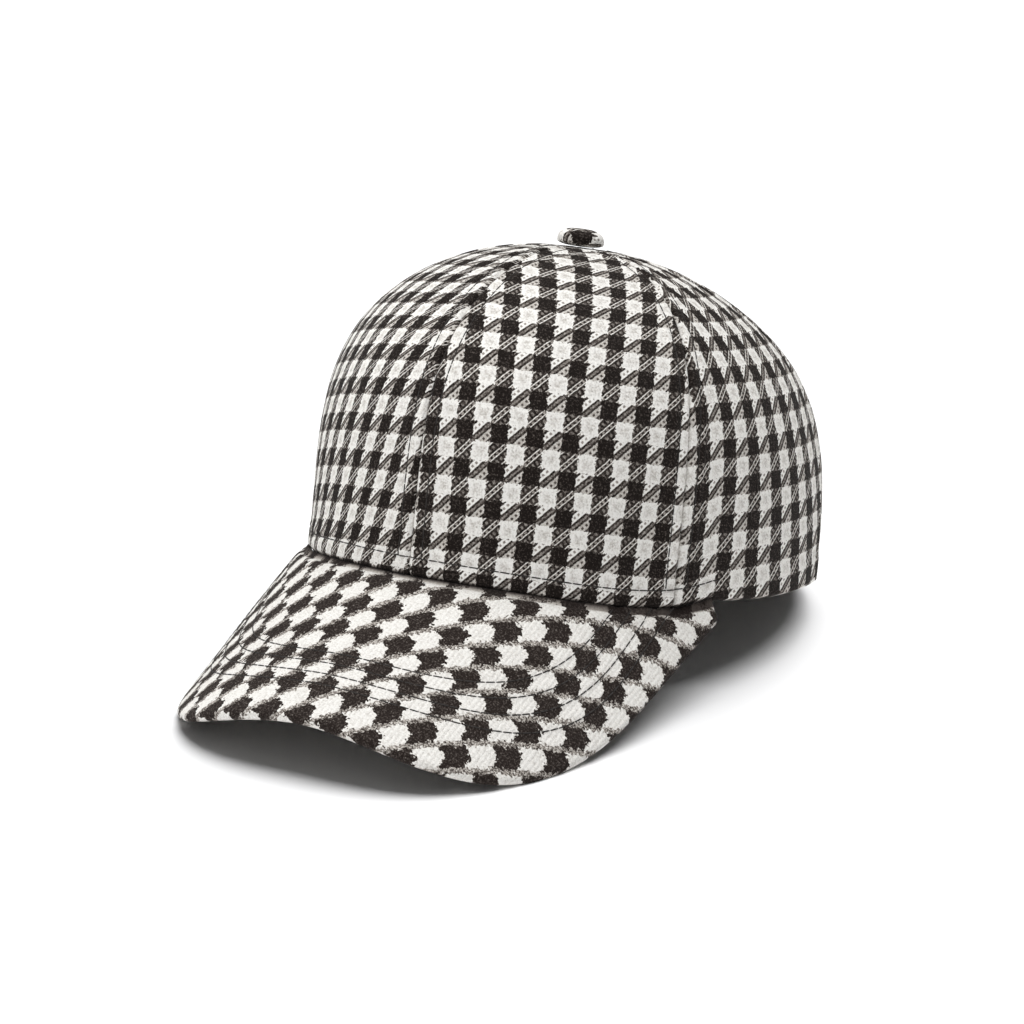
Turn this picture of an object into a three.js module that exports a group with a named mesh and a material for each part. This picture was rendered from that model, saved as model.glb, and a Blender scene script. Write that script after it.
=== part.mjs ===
// A six-panel cloth cap with a curved brim and a covered button, lying on a flat surface.
// Millimetres, +Z up. The brim points to -Y and the wearer's left is +X.
// The cap is drawn upright in its rim frame, where the lower edge of the crown lies near z = 0,
// and is then leaned back until the brim's sides and the rear of the rim touch the surface.
import * as THREE from "three";

// Crown: the outer surface above the rim plane.
const CROWN_HALF_WIDTH = 81.7;
const CROWN_HALF_LENGTH = 105.8;
const CROWN_HEIGHT = 105.7;
const APEX_FORWARD = 19.6; // how far the top sits in front of the middle of the rim
const SHOULDER_SWELL = 0.09; // widening of the crown halfway up, a share of its half width
const CROWN_WALL = 2.2;

// Fullness of the upright section: 2 is an ellipse and more is squarer.
const FULLNESS = { front: 2.21, frontSide: 2.3, rearSide: 2.3, back: 2.43 };

// Seams from the front round to the back, in degrees from the front at the rim and at the top.
const SEAMS = [
  { name: "front", rimAngle: 0, topAngle: 0 },
  { name: "side", rimAngle: 60.4, topAngle: 82.9 },
  { name: "rear_side", rimAngle: 120, topAngle: 134 },
  { name: "back", rimAngle: 180, topAngle: 180 },
];

// Panels between two seams. A seam with a minus sign is the one on the wearer's right.
const PANELS = [
  { name: "crown_front_left", from: 0, to: 1 },
  { name: "crown_side_left", from: 1, to: 2 },
  { name: "crown_back_left", from: 2, to: 3 },
  { name: "crown_front_right", from: -1, to: 0 },
  { name: "crown_side_right", from: -2, to: -1 },
  { name: "crown_back_right", from: -3, to: -2 },
];
const PANEL_COLUMNS = 12;
const PANEL_ROWS = 16;

// Seams: the cloth rolls into each seam, over an allowance that is folded back underneath.
const SEAM_GAP = 0.3;
const SEAM_DIP = 0.8;
const SEAM_ROLL = 1.8;
const SEAM_ALLOWANCE = 6.5;
const SEAM_PAD = 0.4;

// Brim: a bent sheet that follows the rim at its root.
const BRIM_LENGTH = 54.2; // from the root to the front edge, in the rim plane
const BRIM_HALF_WIDTH = 78.5;
const BRIM_DROOP = 39; // degrees below the rim plane
const BRIM_ARCH = 55.9; // drop from the middle to the side at the half width
const BRIM_ARCH_SQUARENESS = 0.27; // share of the arch that bends only near the sides
const BRIM_SET = 7.05; // how far the middle of the root lies below the rim plane
const BRIM_CORNER = 2.93; // exponent of the outline: 2 is an ellipse and more is squarer
const BRIM_WIDENING = 0.35; // share of the outline's depth over which it widens from its root
const BRIM_ROOT_ANGLE = 70; // degrees from the front to the brim's end on the rim
const BRIM_END = 2.6; // width of the brim at its ends
const BRIM_THICKNESS = 3.9;
const BRIM_TURN = 16; // distance from the root over which its faces turn from upright to square
const BRIM_LIP = 3; // strip of the upper cover that wraps round the edge
const BRIM_ROUNDING = 0.9; // depth of the rounded edge
const BRIM_TAPER = 22; // width of the brim under which it thins out towards its ends
const BRIM_END_SHARE = 0.35; // share of its thickness that is left at the ends
const COVER_GAP = 0.5;
const BRIM_COLUMNS = 52;
const UNDER_TRIM = 0.01; // share of the outline by which the lower cover stops short of each end
const RIM_EASING = 51; // degrees over which the rim runs level again behind the brim

// Button: a cloth-covered dome on a short shank that passes between the panels.
const BUTTON_RADIUS = 7.8;
const BUTTON_HEIGHT = 6.1;
const BUTTON_SQUARENESS = 2.6;
const BUTTON_SIDES = 28;
const SHANK_RADIUS = 2.4;
const SHANK_LENGTH = 3.4;
const BUTTON_GAP = 0.3;

// How far the rear of the rim is pressed flat by the surface that it rests on.
const PRESSED = 1.3;

const RIGHT_ANGLE = Math.PI / 2;
const radians = THREE.MathUtils.degToRad;
const mix = THREE.MathUtils.lerp;
const smooth = (t) => THREE.MathUtils.smoothstep(t, 0, 1);

// Four even samples from the front to the back, joined by a cosine series.
function aroundCrown(angle, { front, frontSide, rearSide, back }) {
  const mean = (front + 2 * frontSide + 2 * rearSide + back) / 6;
  const first = (front + frontSide - rearSide - back) / 3;
  const second = (front - frontSide - rearSide + back) / 3;
  const third = (front - 2 * frontSide + 2 * rearSide - back) / 6;
  return mean + first * Math.cos(angle) + second * Math.cos(2 * angle) + third * Math.cos(3 * angle);
}

// The rim seen from above. Angle 0 is the front and +90 degrees the wearer's left.
function rimPlan(angle, outward = 0) {
  const x = CROWN_HALF_WIDTH * Math.sin(angle);
  const y = -CROWN_HALF_LENGTH * Math.cos(angle);
  const normal = new THREE.Vector2(x / CROWN_HALF_WIDTH ** 2, y / CROWN_HALF_LENGTH ** 2).normalize();
  return new THREE.Vector2(x, y).addScaledVector(normal, outward);
}

// Height of the brim's middle surface in the rim frame.
function brimHeight(x, y) {
  const reach = x / BRIM_HALF_WIDTH;
  const bend = (1 - BRIM_ARCH_SQUARENESS) * reach ** 2 + BRIM_ARCH_SQUARENESS * reach ** 4;
  return -BRIM_SET - BRIM_ARCH * bend + Math.tan(radians(BRIM_DROOP)) * (y + CROWN_HALF_LENGTH);
}

// Height of the crown's lower edge: it follows the brim, then eases back to the rim plane.
function rimHeight(angle) {
  const turn = Math.abs(angle);
  const end = radians(BRIM_ROOT_ANGLE);
  const foot = rimPlan(Math.min(turn, end));
  return brimHeight(foot.x, foot.y) * (1 - smooth((turn - end) / radians(RIM_EASING)));
}

// The crown's outer surface. climb runs from 0 at the rim to a right angle at the top.
function crownPoint(angle, climb) {
  const fullness = aroundCrown(angle, FULLNESS);
  const inward = Math.max(Math.cos(climb), 0) ** (2 / fullness);
  const upward = Math.max(Math.sin(climb), 0) ** (2 / fullness);
  const swell = 1 + SHOULDER_SWELL * Math.sin(2 * climb) ** 2;
  const foot = rimPlan(angle);
  return new THREE.Vector3(
    foot.x * inward * swell,
    foot.y * inward * swell - APEX_FORWARD * upward ** 1.5,
    CROWN_HEIGHT * upward + rimHeight(angle) * (1 - upward),
  );
}

function crownNormal(angle, climb) {
  const step = 0.01;
  const low = Math.max(climb - step, 0);
  const high = Math.min(climb + step, RIGHT_ANGLE - 0.002);
  const up = crownPoint(angle, high).sub(crownPoint(angle, low));
  const round = crownPoint(angle + step, climb).sub(crownPoint(angle - step, climb));
  return round.cross(up).normalize();
}

function seamAngle(seam, climb) {
  const { rimAngle, topAngle } = SEAMS[Math.abs(seam)];
  const angle = mix(rimAngle, topAngle, (climb / RIGHT_ANGLE) ** 2);
  return Math.sign(seam) * radians(angle);
}

// The line up the middle of a panel, whose arc length spaces the rows of the panel.
class MiddleLine extends THREE.Curve {
  constructor(panel, topClimb) {
    super();
    this.panel = panel;
    this.topClimb = topClimb;
  }
  getPoint(t) {
    const climb = t * this.topClimb;
    const { from, to } = this.panel;
    return crownPoint((seamAngle(from, climb) + seamAngle(to, climb)) / 2, climb);
  }
}

// Where the crown is as narrow as the hole round the button's shank.
function holeClimb() {
  const share = (SHANK_RADIUS + 2 * SEAM_GAP) / CROWN_HALF_WIDTH;
  return Math.acos(share ** (Math.min(...Object.values(FULLNESS)) / 2));
}

// Distance of a column from the seam it is nearer to: close together in the roll, then even.
function columnDistance(column, width) {
  const steps = [0, SEAM_ROLL * 0.4, SEAM_ROLL, SEAM_ALLOWANCE];
  const last = steps.length - 1;
  const near = Math.min(column, PANEL_COLUMNS - column);
  const tight = (k) => Math.min(steps[k], (k / PANEL_COLUMNS) * width);
  if (near <= last) return tight(near);
  return mix(tight(last), width / 2, (near - last) / (PANEL_COLUMNS / 2 - last));
}

// Height of the outer face over the plain surface at a distance from the seam.
function seamRelief(distance, width) {
  const room = Math.min(1, width / (4 * SEAM_ALLOWANCE));
  const dip = SEAM_DIP * (1 - smooth(distance / SEAM_ROLL));
  const pad = distance < SEAM_ALLOWANCE - 0.01 ? SEAM_PAD * smooth(distance / SEAM_ROLL) : 0;
  return (pad - dip) * room;
}

// A unit box whose corners are moved by place(u, v, w), with u, v and w from 0 to 1.
function bentBox(columns, rows, place) {
  const box = new THREE.BoxGeometry(1, 1, 1, columns, rows, 1);
  const position = box.getAttribute("position");
  const point = new THREE.Vector3();
  for (let i = 0; i < position.count; i++) {
    point.fromBufferAttribute(position, i).addScalar(0.5);
    const moved = place(point.x, point.y, point.z);
    position.setXYZ(i, moved.x, moved.y, moved.z);
  }
  box.computeVertexNormals();
  return box;
}

function panelGeometry(panel) {
  const topClimb = holeClimb();
  const middle = new MiddleLine(panel, topClimb);
  return bentBox(PANEL_COLUMNS, PANEL_ROWS, (u, v, w) => {
    const climb = middle.getUtoTmapping(v) * topClimb;
    const first = seamAngle(panel.from, climb);
    const second = seamAngle(panel.to, climb);
    const speedAt = (angle) => crownPoint(angle + 0.01, climb).distanceTo(crownPoint(angle - 0.01, climb)) / 0.02;
    const left = first + SEAM_GAP / 2 / speedAt(first);
    const right = second - SEAM_GAP / 2 / speedAt(second);
    const width = (right - left) * speedAt((left + right) / 2);
    const column = Math.round(u * PANEL_COLUMNS);
    const distance = columnDistance(column, width);
    const share = column <= PANEL_COLUMNS / 2 ? distance / width : 1 - distance / width;
    const angle = mix(left, right, share);
    const offset = w > 0.5 ? seamRelief(distance, width) : -CROWN_WALL;
    return toRest(crownPoint(angle, climb).addScaledVector(crownNormal(angle, climb), offset));
  });
}

// The brim's outer edge seen from above, from the wearer's right end to the left end.
class BrimEdge extends THREE.Curve {
  getPoint(t) {
    const end = rimPlan(radians(BRIM_ROOT_ANGLE), SEAM_PAD + SEAM_GAP + BRIM_END);
    const depth = BRIM_LENGTH + end.y + CROWN_HALF_LENGTH;
    const turn = (2 * t - 1) * RIGHT_ANGLE;
    const across = Math.sign(turn) * Math.abs(Math.sin(turn)) ** (2 / BRIM_CORNER);
    const ahead = Math.max(Math.cos(turn), 0) ** (2 / BRIM_CORNER);
    const open = Math.min(ahead / BRIM_WIDENING, 1);
    const halfWidth = mix(end.x, BRIM_HALF_WIDTH, open * (2 - open));
    return new THREE.Vector2(halfWidth * across, end.y - depth * ahead);
  }
}

const brimEdge = new BrimEdge();

// A point of the brim: u from its right end to its left, inset from the outer edge, and how far
// it lies over or under the middle surface. Offsets are upright at the root, against the crown, and
// square to the sheet further out.
function brimPoint(u, share, offset) {
  const rootAngle = radians(BRIM_ROOT_ANGLE) * (2 * u - 1);
  const root = rimPlan(rootAngle, SEAM_PAD + SEAM_GAP);
  const edge = brimEdge.getPointAt(u);
  const width = root.distanceTo(edge);
  const { x, y } = root.lerp(edge, share);
  const step = 0.5;
  const slopeX = (brimHeight(x + step, y) - brimHeight(x - step, y)) / (2 * step);
  const slopeY = Math.tan(radians(BRIM_DROOP));
  const steepness = Math.hypot(1, slopeX, slopeY);
  const square = new THREE.Vector3(-slopeX, -slopeY, 1).divideScalar(steepness);
  const upright = new THREE.Vector3(0, 0, steepness);
  const direction = upright.lerp(square, smooth((width * share) / BRIM_TURN));
  const thinned = mix(BRIM_END_SHARE, 1, smooth(width / BRIM_TAPER));
  return new THREE.Vector3(x, y, brimHeight(x, y)).addScaledVector(direction, offset * thinned);
}

function brimWidthAt(u) {
  return brimPoint(u, 0, 0).distanceTo(brimPoint(u, 1, 0));
}

// Rows of the upper cover from the outer edge to the root. inset is in millimetres from the edge,
// over and under say how far the faces lie from the middle surface, as shares of half the thickness.
const HALF_THICKNESS = BRIM_THICKNESS / 2;
const INNER_FACE = COVER_GAP / 2 / HALF_THICKNESS;
const LIP_STEP = 0.05;
const UNDER_INSET = BRIM_LIP + LIP_STEP + COVER_GAP;
const TOP_EDGE_ROWS = [
  { inset: 0, over: 0.5, under: -0.5 },
  { inset: BRIM_ROUNDING * 0.4, over: 0.85, under: -0.85 },
  { inset: BRIM_ROUNDING, over: 1, under: -1 },
  { inset: BRIM_LIP, over: 1, under: -1 },
  { inset: BRIM_LIP + LIP_STEP, over: 1, under: INNER_FACE },
  { inset: UNDER_INSET, over: 1, under: INNER_FACE },
];
const UNDER_EDGE_ROWS = [{ inset: UNDER_INSET, over: -INNER_FACE, under: -1 }];
const BRIM_INNER_ROWS = 8;
const EDGE_SHARE = 0.6; // the most of a narrow end that the edge rows take

// A point of a cover's face, with rows counted from the outer edge.
function coverPoint(edgeRows, u, row, onTop) {
  const last = edgeRows.length - 1;
  const { inset, over, under } = edgeRows[Math.min(row, last)];
  const edgeShare = 1 - Math.min(inset / brimWidthAt(u), (EDGE_SHARE * inset) / UNDER_INSET);
  const inward = Math.max(row - last, 0) / BRIM_INNER_ROWS;
  return brimPoint(u, edgeShare * (1 - inward), (onTop ? over : under) * HALF_THICKNESS);
}

function brimCoverGeometry(edgeRows, endTrim) {
  const rows = edgeRows.length - 1 + BRIM_INNER_ROWS;
  return bentBox(BRIM_COLUMNS, rows, (u, v, w) => {
    const along = THREE.MathUtils.clamp(u, endTrim, 1 - endTrim);
    return toRest(coverPoint(edgeRows, along, Math.round(v * rows), w > 0.5));
  });
}

function buttonGeometry() {
  const steps = 7;
  const profile = [new THREE.Vector2(0, -SHANK_LENGTH), new THREE.Vector2(SHANK_RADIUS, -SHANK_LENGTH)];
  profile.push(new THREE.Vector2(SHANK_RADIUS, 0));
  const waist = BUTTON_HEIGHT * 0.3;
  for (let i = 0; i <= 2; i++) {
    const turn = (i / 3) * RIGHT_ANGLE;
    const radius = BUTTON_RADIUS * (0.8 + 0.2 * Math.sin(turn));
    profile.push(new THREE.Vector2(radius, waist * (1 - Math.cos(turn))));
  }
  for (let i = 0; i <= steps; i++) {
    const turn = (i / steps) * RIGHT_ANGLE;
    const radius = BUTTON_RADIUS * Math.max(Math.cos(turn), 0) ** (2 / BUTTON_SQUARENESS);
    const rise = (BUTTON_HEIGHT - waist) * Math.sin(turn) ** (2 / BUTTON_SQUARENESS);
    profile.push(new THREE.Vector2(i === steps ? 0 : radius, waist + rise));
  }
  const lathe = new THREE.LatheGeometry(profile, BUTTON_SIDES);
  return lathe.rotateX(RIGHT_ANGLE);
}

// The rear of the rim, about which the cap leans back.
const REAR_RIM = new THREE.Vector3(0, CROWN_HALF_LENGTH, 0);
const LEAN_AXIS = new THREE.Vector3(1, 0, 0);

function leaned(point, lean) {
  return point.clone().sub(REAR_RIM).applyAxisAngle(LEAN_AXIS, -lean).add(REAR_RIM);
}

// The lean at which the brim's lowest point is level with the rear of the rim once that is pressed.
function restingLean() {
  const lowerFace = [];
  for (let column = 0; column <= BRIM_COLUMNS; column++) {
    for (let row = 0; row < TOP_EDGE_ROWS.length; row++) {
      lowerFace.push(coverPoint(TOP_EDGE_ROWS, column / BRIM_COLUMNS, row, false));
    }
  }
  let low = 0;
  let high = radians(45);
  for (let i = 0; i < 40; i++) {
    const lean = (low + high) / 2;
    const lowest = Math.min(...lowerFace.map((point) => leaned(point, lean).z));
    if (lowest < PRESSED) low = lean;
    else high = lean;
  }
  return high;
}

const LEAN = restingLean();

// From the rim frame to the surface, with the rear of the rim pressed flat where it would sink in.
function toRest(point) {
  const resting = leaned(point, LEAN);
  resting.z = Math.max(resting.z - PRESSED, 0);
  return resting;
}

const cloth = (color) => new THREE.MeshStandardMaterial({ color, roughness: 0.95, metalness: 0 });

function namedMesh(name, geometry, color) {
  const mesh = new THREE.Mesh(geometry, cloth(color));
  mesh.name = name;
  return mesh;
}

const CLOTH_MEAN = 0x85807b;
const CLOTH_SHADE = 0x7d7873;
const BUTTON_SHADE = 0x4a4542;

const cap = new THREE.Group();

for (const panel of PANELS) cap.add(namedMesh(panel.name, panelGeometry(panel), CLOTH_MEAN));

cap.add(namedMesh("brim_top", brimCoverGeometry(TOP_EDGE_ROWS, 0), CLOTH_MEAN));
cap.add(namedMesh("brim_under", brimCoverGeometry(UNDER_EDGE_ROWS, UNDER_TRIM), CLOTH_SHADE));

const button = namedMesh("button", buttonGeometry(), BUTTON_SHADE);
button.position.copy(toRest(new THREE.Vector3(0, -APEX_FORWARD, CROWN_HEIGHT + BUTTON_GAP)));
button.rotation.x = -LEAN;
cap.add(button);

// The origin is under the middle of the whole cap.
const extent = new THREE.Box3().setFromObject(cap, true);
cap.position.y = -(extent.min.y + extent.max.y) / 2;

export default cap;
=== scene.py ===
"""A six-panel cap in houndstooth wool with a stitched curved brim and a covered button."""

import logging
import math
from bisect import bisect_left
from collections.abc import Callable, Iterable
from dataclasses import dataclass, field
from enum import Enum
from functools import cached_property, lru_cache

import bmesh
import bpy
from mathutils import Matrix, Vector, noise
from mathutils.bvhtree import BVHTree


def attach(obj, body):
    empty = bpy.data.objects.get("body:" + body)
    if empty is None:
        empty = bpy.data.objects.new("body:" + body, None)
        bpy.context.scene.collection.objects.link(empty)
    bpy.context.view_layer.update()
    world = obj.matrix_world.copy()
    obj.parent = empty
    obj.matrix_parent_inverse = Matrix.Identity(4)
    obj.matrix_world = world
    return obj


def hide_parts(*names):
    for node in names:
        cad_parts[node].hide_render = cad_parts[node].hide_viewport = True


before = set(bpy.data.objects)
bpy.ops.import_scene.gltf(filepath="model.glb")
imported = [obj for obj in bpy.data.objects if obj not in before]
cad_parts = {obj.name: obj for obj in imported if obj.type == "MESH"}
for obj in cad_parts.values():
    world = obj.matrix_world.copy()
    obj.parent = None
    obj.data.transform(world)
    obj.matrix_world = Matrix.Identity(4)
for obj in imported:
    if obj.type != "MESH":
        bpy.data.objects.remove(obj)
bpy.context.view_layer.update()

MM = 0.001
QUARTER = math.pi / 2
HALF_CHECK = 0.25
WEAVE = "weave"
# Name of the layer that carries painted shade: from 0 to 1, how much the cloth is darkened in the fold
# between crown and brim.
CREASE_SHADE = "crease"
log = logging.getLogger("cap")

Colour = tuple[float, float, float]
# Two weave coordinates, and from 0 to 1 the painted shade in the fold between crown and brim.
Woven = tuple[float, float, float]


def mix(first: float, second: float, share: float) -> float:
    """Return the number that lies a share of the way from first to second."""
    return first + (second - first) * share


def smooth(value: float) -> float:
    """Return a step from 0 to 1 with soft ends, for a value from 0 to 1."""
    value = min(max(value, 0.0), 1.0)
    return value * value * (3 - 2 * value)


def valley(distance: float, half_width: float) -> float:
    """Return 1 on a line and near 0 at its half width, as a pressed groove falls."""
    return math.exp(-((distance / half_width) ** 2))


class Signal:
    """A number that varies over a surface, carried by one node socket."""

    def __init__(self, shader: "Shader", socket: bpy.types.NodeSocket) -> None:
        """Keep the socket and the shader whose nodes carry the sums."""
        self.shader = shader
        self.socket = socket

    def then(self, operation: str, *others: "Signal | float") -> "Signal":
        """Return the result of a Math node whose first value is this one."""
        return self.shader.maths(operation, self, *others)

    def __add__(self, other: "Signal | float") -> "Signal":
        """Return the sum."""
        return self.then("ADD", other)

    __radd__ = __add__

    def __mul__(self, other: "Signal | float") -> "Signal":
        """Return the product."""
        return self.then("MULTIPLY", other)

    __rmul__ = __mul__

    def __sub__(self, other: "Signal | float") -> "Signal":
        """Return the difference."""
        return self.then("SUBTRACT", other)

    def __rsub__(self, other: float) -> "Signal":
        """Return a number less this one."""
        return self.shader.maths("SUBTRACT", other, self)

    def __truediv__(self, other: "Signal | float") -> "Signal":
        """Return the quotient."""
        return self.then("DIVIDE", other)

    def __abs__(self) -> "Signal":
        """Return the size without its sign."""
        return self.then("ABSOLUTE")

    def around_zero(self) -> "Signal":
        """Return the distance from the nearest whole number, from -0.5 to 0.5."""
        return (self + 0.5).then("FRACT") - 0.5

    def limited(self) -> "Signal":
        """Return the value held between 0 and 1."""
        return self.then("MAXIMUM", 0.0).then("MINIMUM", 1.0)

    def within(self, limit: float, softness: float) -> "Signal":
        """Return 1 where the value lies nearer to zero than a limit, with a soft edge."""
        return ((limit - abs(self)) / softness + 0.5).limited()

    def toward(self, other: "Signal | float", share: "Signal | float") -> "Signal":
        """Return the value moved a share of the way to another."""
        return self + (other - self) * share


class Shader:
    """A material in the making: its nodes, the sums on them, and its surface."""

    def __init__(self, name: str) -> None:
        """Start an empty material of that name."""
        self.material = bpy.data.materials.new(name)
        self.material.use_nodes = True
        self.tree = self.material.node_tree
        self.tree.nodes.clear()

    def node(self, kind: str, settings: dict | None = None, inputs: dict | None = None) -> bpy.types.Node:
        """Add one node.

        Args:
            kind: The node's type.
            settings: Its properties, and under "stops" the colours of a ramp.
            inputs: Values or links for its sockets, by name, identifier or number.

        Returns:
            The new node.
        """
        made = self.tree.nodes.new(kind)
        for key, value in (settings or {}).items():
            if key == "stops":
                self._set_stops(made.color_ramp, value)
            else:
                setattr(made, key, value)
        for key, value in (inputs or {}).items():
            socket = self._socket(made, key)
            if isinstance(value, Signal):
                self.tree.links.new(value.socket, socket)
            elif isinstance(value, bpy.types.NodeSocket):
                self.tree.links.new(value, socket)
            else:
                socket.default_value = value
        return made

    @staticmethod
    def _socket(node: bpy.types.Node, key: str | int) -> bpy.types.NodeSocket:
        """Return a node's input by its number, identifier or name."""
        if isinstance(key, int):
            return node.inputs[key]
        return next((s for s in node.inputs if s.identifier == key), None) or node.inputs[key]

    @staticmethod
    def _set_stops(ramp: bpy.types.ColorRamp, stops: Iterable[tuple[float, Colour]]) -> None:
        """Give a colour ramp its stops."""
        stops = list(stops)
        while len(ramp.elements) < len(stops):
            ramp.elements.new(0.5)
        for element, (place, colour) in zip(ramp.elements, stops):
            element.position = place
            element.color = (*colour, 1.0)

    def maths(self, operation: str, *values: Signal | float) -> Signal:
        """Return the result of one Math node."""
        made = self.node("ShaderNodeMath", {"operation": operation}, dict(enumerate(values)))
        return Signal(self, made.outputs[0])

    def vectors(self, operation: str, *values: bpy.types.NodeSocket | tuple) -> bpy.types.NodeSocket:
        """Return the result of one Vector Math node."""
        made = self.node("ShaderNodeVectorMath", {"operation": operation}, dict(enumerate(values)))
        return made.outputs["Vector"]

    def parts(self, vector: bpy.types.NodeSocket) -> tuple[Signal, Signal, Signal]:
        """Return the three numbers of a vector."""
        made = self.node("ShaderNodeSeparateXYZ", None, {0: vector})
        return tuple(Signal(self, out) for out in made.outputs)

    def laid(self, name: str) -> bpy.types.NodeSocket:
        """Return the coordinates that the mesh holds under a name."""
        return self.node("ShaderNodeUVMap", {"uv_map": name}).outputs["UV"]

    def grain(self, place: bpy.types.NodeSocket, size: float, detail: float = 2.0) -> bpy.types.Node:
        """Add a noise whose grains are about a size across, in the units of its place."""
        settings = {"noise_dimensions": "3D"}
        inputs = {"Vector": place, "Scale": 1.0 / size, "Detail": detail, "Roughness": 0.6}
        return self.node("ShaderNodeTexNoise", settings, inputs)

    def tint(self, share: Signal | float, first: Colour, second: Colour) -> bpy.types.NodeSocket:
        """Return a mix of two colours."""
        inputs = {
            "Factor_Float": share,
            "A_Color": first if isinstance(first, bpy.types.NodeSocket) else (*first, 1.0),
            "B_Color": second if isinstance(second, bpy.types.NodeSocket) else (*second, 1.0),
        }
        made = self.node("ShaderNodeMix", {"data_type": "RGBA"}, inputs)
        return next(out for out in made.outputs if out.identifier == "Result_Color")

    def finish(self, inputs: dict) -> bpy.types.Material:
        """Add the surface and return the material."""
        surface = self.node("ShaderNodeBsdfPrincipled", None, inputs)
        self.node("ShaderNodeOutputMaterial", None, {"Surface": surface.outputs["BSDF"]})
        return self.material


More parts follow.
